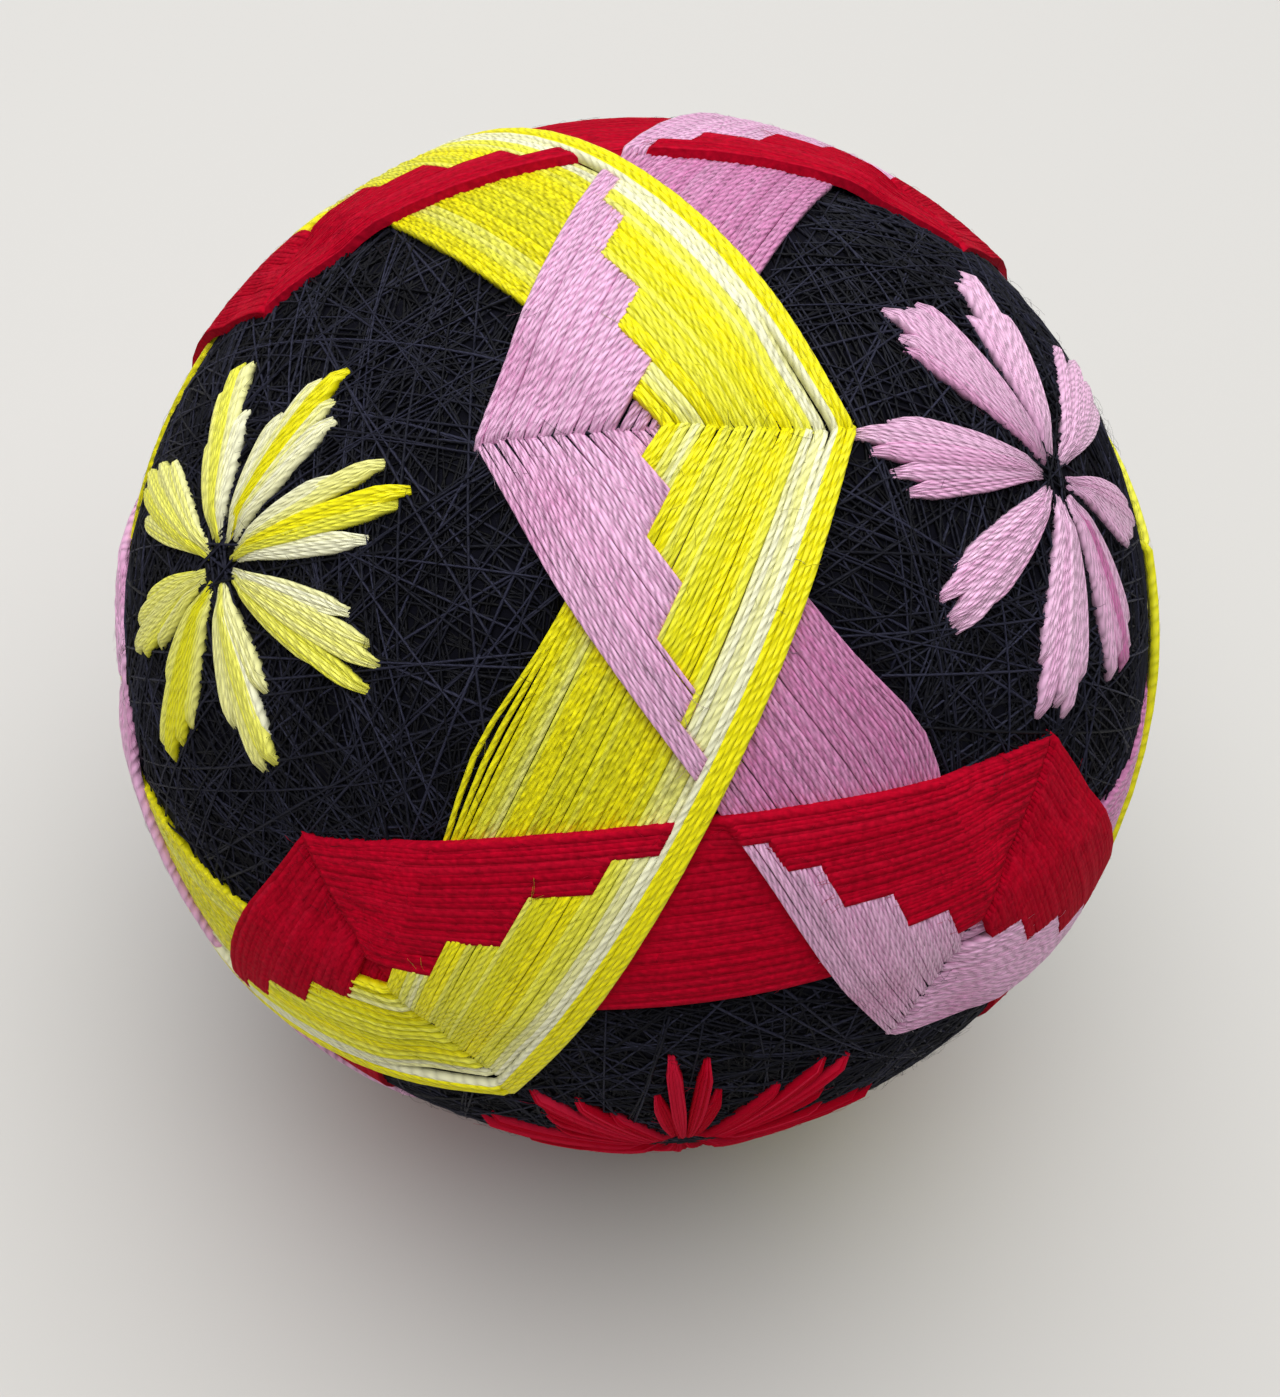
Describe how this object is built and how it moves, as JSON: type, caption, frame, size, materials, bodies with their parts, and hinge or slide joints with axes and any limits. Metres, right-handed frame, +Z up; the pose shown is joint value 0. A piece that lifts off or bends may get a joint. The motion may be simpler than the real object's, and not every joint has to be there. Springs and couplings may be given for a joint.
{
  "type": "temari ball",
  "caption": "Thread-wound ball with interlaced stitched squares in stepped bands and a stitched flower in each space between them.",
  "frame": {"origin": "centre of the small flat spot that the ball rests on", "axes": "+Z up through the ball, -Y toward the side that the picture shows from above"},
  "size_m": [0.0898, 0.0881, 0.0894],
  "materials": {
    "winding": "matte fuzzy dark navy sewing thread, wound in crossing turns",
    "pink_thread": "glossy six-strand embroidery floss",
    "red_thread": "matte, slightly fuzzy thread",
    "yellow_thread": "glossy variegated embroidery floss, cream to bright yellow"
  },
  "bodies": {
    "root": {"wound_ball": "winding", "pink_square_front_round_1": "pink_thread", "pink_square_front_round_2": "pink_thread", "pink_square_front_round_3": "pink_thread", "pink_square_front_round_4": "pink_thread", "pink_square_front_round_5": "pink_thread", "pink_flower_front": "pink_thread", "yellow_square_front_round_1": "yellow_thread", "yellow_square_front_round_2": "yellow_thread", "yellow_square_front_round_3": "yellow_thread", "yellow_square_front_round_4": "yellow_thread", "yellow_square_front_round_5": "yellow_thread", "yellow_flower_front": "yellow_thread", "red_square_front_round_1": "red_thread", "red_square_front_round_2": "red_thread", "red_square_front_round_3": "red_thread", "red_square_front_round_4": "red_thread", "red_square_front_round_5": "red_thread", "red_flower_front": "red_thread", "pink_square_back_round_1": "pink_thread", "pink_square_back_round_2": "pink_thread", "pink_square_back_round_3": "pink_thread", "pink_square_back_round_4": "pink_thread", "pink_square_back_round_5": "pink_thread", "pink_flower_back": "pink_thread", "yellow_square_back_round_1": "yellow_thread", "yellow_square_back_round_2": "yellow_thread", "yellow_square_back_round_3": "yellow_thread", "yellow_square_back_round_4": "yellow_thread", "yellow_square_back_round_5": "yellow_thread", "yellow_flower_back": "yellow_thread", "red_square_back_round_1": "red_thread", "red_square_back_round_2": "red_thread", "red_square_back_round_3": "red_thread", "red_square_back_round_4": "red_thread", "red_square_back_round_5": "red_thread", "red_flower_back": "red_thread"}
  },
  "joints": []
}
